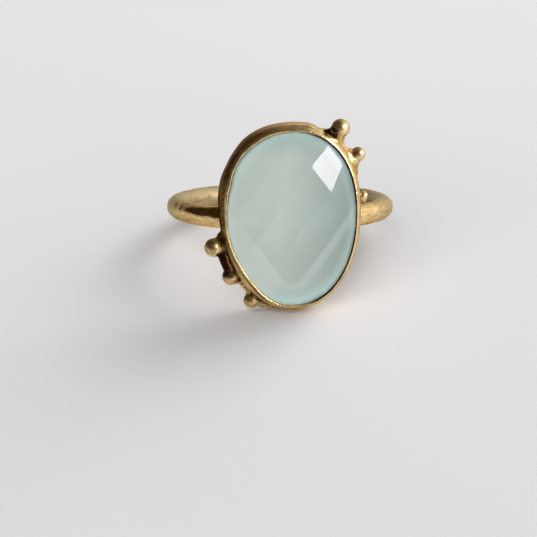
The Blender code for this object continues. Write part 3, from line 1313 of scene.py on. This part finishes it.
def grind_facets(bm):
    """Grind the crown's facets."""
    for place in crown_lattice():
        point, normal = crown_plane(*place)
        cut = bmesh.ops.bisect_plane(
            bm,
            geom=bm.verts[:] + bm.edges[:] + bm.faces[:],
            dist=CUT_PRECISION,
            plane_co=point,
            plane_no=normal,
            clear_outer=True,
        )
        rim = [item for item in cut["geom_cut"] if isinstance(item, bmesh.types.BMEdge)]
        bmesh.ops.holes_fill(bm, edges=rim, sides=0)


def soften_facet_edges(bm, width):
    """Wear the edges between two crown facets."""
    crown = [
        edge
        for edge in bm.edges
        if len(edge.link_faces) == 2
        and all(face.normal.y < WORN_FACING for face in edge.link_faces)
        and edge.calc_length() > 4 * width
    ]
    bmesh.ops.bevel(
        bm, geom=crown, offset=width, segments=2, profile=0.6, affect="EDGES", clamp_overlap=True
    )


def keep_dome(mesh, roundness):
    """Store at each corner the direction in which the milky inside is lit: a low dome's."""
    back = PLACE.inverted()
    turn = PLACE.to_3x3()
    dome = []
    for face in mesh.polygons:
        for index in face.vertices:
            if (back.to_3x3() @ face.normal).y > DOME_FACING:
                dome.extend(face.normal)
                continue
            own = back @ mesh.vertices[index].co
            tip_x = own.x / HALF_WIDTH**2
            tip_z = (own.z - HEAD_LIFT) / HALF_HEIGHT**2
            lean = 2 * CROWN * roundness
            dome.extend(turn @ Vector((lean * tip_x, -1, lean * tip_z)).normalized())
    keep_attribute(mesh, "dome", dome, "FLOAT_VECTOR", "CORNER")


class RING_OT_cut_stone(bpy.types.Operator):
    """Cut and polish the milky stone"""

    bl_idname = "ring.cut_stone"
    bl_label = "Cut stone"

    def execute(self, context):
        looks = context.scene.ring_stone
        bm = stone_blank()
        grind_facets(bm)
        bmesh.ops.recalc_face_normals(bm, faces=bm.faces)
        bm.normal_update()
        soften_facet_edges(bm, looks.facet_edge)
        bmesh.ops.triangulate(bm, faces=[face for face in bm.faces if len(face.verts) > 4])
        stone = new_piece("faceted_stone", bm)
        keep_dome(stone.data, looks.roundness)
        stone.data.materials.append(stone_material(looks))
        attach(stone, "root")
        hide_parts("stone")
        return {"FINISHED"}


# The lights, each by degrees left of the head and above it, distance and width in metres
LIGHTS = {
    "window": (-49, 21, 2.0, 1.0),
    "fill": (25, 22, 1.5, 1.2),
    "daylight": (-120, 40, 1.6, 0.95),
}

# Directions, from the ring, of the pale side of the room and of its bright daylight, and over
# which cosines of the angle from them they fade in
PALE_SIDE = (0.85, 0.30, -0.40)
PALE_FADE = (-0.45, 0.3)
BRIGHT_SIDE = (0.90, 0.40, 0.12)
BRIGHT_FADE = (0.4, 0.95)

FLOOR_RADIUS = 2.5


def view_direction(left, above):
    """Return a direction from the ring, in its own axes: degrees left of the head and above."""
    left, above = math.radians(left), math.radians(above)
    return Vector((-math.sin(left) * math.cos(above), -math.cos(left) * math.cos(above), math.sin(above)))


def add_area_light(name, watts):
    """Add a soft square light that looks at the head."""
    left, above, distance, width = LIGHTS[name]
    lamp = bpy.data.lights.new(name, "AREA")
    lamp.shape = "SQUARE"
    lamp.size = width
    lamp.energy = watts
    made = add_object(name, lamp)
    away = PLACE.to_3x3() @ view_direction(left, above) * distance
    made.location = PLACE @ Vector((0, -STONE_FRONT, HEAD_LIFT)) + away
    made.rotation_euler = away.to_track_quat("Z", "Y").to_euler()
    return made


def add_camera():
    """Stand the camera where the photograph was taken from."""
    turn = PLACE.to_3x3()
    ahead = -(turn @ view_direction(CAMERA_LEFT, CAMERA_ABOVE))
    upright = turn @ Vector((0, 0, 1))
    right = ahead.cross(upright).normalized()
    up = right.cross(ahead)
    across, down = ((place - PICTURE / 2) / FOCAL_PIXELS for place in BAND_PIXEL)
    axis = (ahead - right * across + up * down).normalized()
    right = axis.cross(upright).normalized()
    up = right.cross(axis)
    camera = bpy.data.cameras.new("photo_view")
    camera.sensor_width = SENSOR
    camera.lens = FOCAL_PIXELS / PICTURE * SENSOR
    camera.clip_start = 0.01
    camera.clip_end = 20
    place = Matrix((right, up, -axis)).transposed().to_4x4()
    place.translation = PLACE.translation - ahead * CAMERA_DISTANCE
    made = add_object("photo_view", camera)
    made.matrix_world = place
    bpy.context.scene.camera = made


def light_room(looks):
    """Surround the ring with a room that is dark at the left and bright at the right, behind."""
    world = bpy.data.worlds.new("pale_room")
    bpy.context.scene.world = world
    world.use_nodes = True
    tree = world.node_tree
    where = add_node(tree, "ShaderNodeTexCoord").outputs["Generated"]
    colour = looks.dark_side
    for side, fade, light in (
        (PALE_SIDE, PALE_FADE, looks.pale_side),
        (BRIGHT_SIDE, BRIGHT_FADE, looks.bright_side),
    ):
        facing = combine_vectors(tree, "DOT_PRODUCT", where, Vector(side).normalized())
        colour = blend_colours(tree, stretch(tree, facing, *fade), colour, light)
    feed(tree, tree.nodes["Background"], {"Color": colour, "Strength": looks.room})


class RING_OT_stage(bpy.types.Operator):
    """Lay a pale floor, light it from a soft window and stand the camera"""

    bl_idname = "ring.stage"
    bl_label = "Stage"

    def execute(self, context):
        looks = context.scene.ring_stage
        bm = bmesh.new()
        bmesh.ops.create_circle(bm, cap_ends=True, segments=96, radius=FLOOR_RADIUS)
        floor = add_object("floor", finished_mesh("floor", bm))
        floor.data.materials.append(floor_material(looks))
        light_room(looks)
        window = add_area_light("window", looks.window)
        window.visible_diffuse = False
        window.data.color = looks.window_colour
        add_area_light("fill", looks.fill).visible_glossy = False
        add_area_light("daylight", looks.daylight).visible_glossy = False
        add_camera()
        context.scene.view_settings.view_transform = "Standard"
        return {"FINISHED"}


class RING_PT_looks(bpy.types.Panel):
    """Lists the ring's pieces and their looks"""

    bl_label = "Stacking ring"
    bl_idname = "RING_PT_looks"
    bl_space_type = "VIEW_3D"
    bl_region_type = "UI"
    bl_category = "Ring"

    def draw(self, context):
        groups = (
            (RING_OT_soldered_metal, context.scene.ring_gold),
            (RING_OT_cut_stone, context.scene.ring_stone),
            (RING_OT_stage, context.scene.ring_stage),
        )
        for operator, looks in groups:
            box = self.layout.box()
            box.operator(operator.bl_idname)
            for name in looks.__annotations__:
                box.prop(looks, name)


CLASSES = (
    GoldLooks,
    StoneLooks,
    StageLooks,
    RING_OT_soldered_metal,
    RING_OT_cut_stone,
    RING_OT_stage,
    RING_PT_looks,
)


def register():
    """Register the classes and give the scene its looks."""
    for each in CLASSES:
        bpy.utils.register_class(each)
    bpy.types.Scene.ring_gold = PointerProperty(type=GoldLooks)
    bpy.types.Scene.ring_stone = PointerProperty(type=StoneLooks)
    bpy.types.Scene.ring_stage = PointerProperty(type=StageLooks)


def unregister():
    """Take the classes and the looks away again."""
    del bpy.types.Scene.ring_stage
    del bpy.types.Scene.ring_stone
    del bpy.types.Scene.ring_gold
    for each in reversed(CLASSES):
        bpy.utils.unregister_class(each)


def main():
    """Make every piece and the stage."""
    register()
    bpy.ops.ring.soldered_metal()
    bpy.ops.ring.cut_stone()
    bpy.ops.ring.stage()


if __name__ == "__main__":
    main()
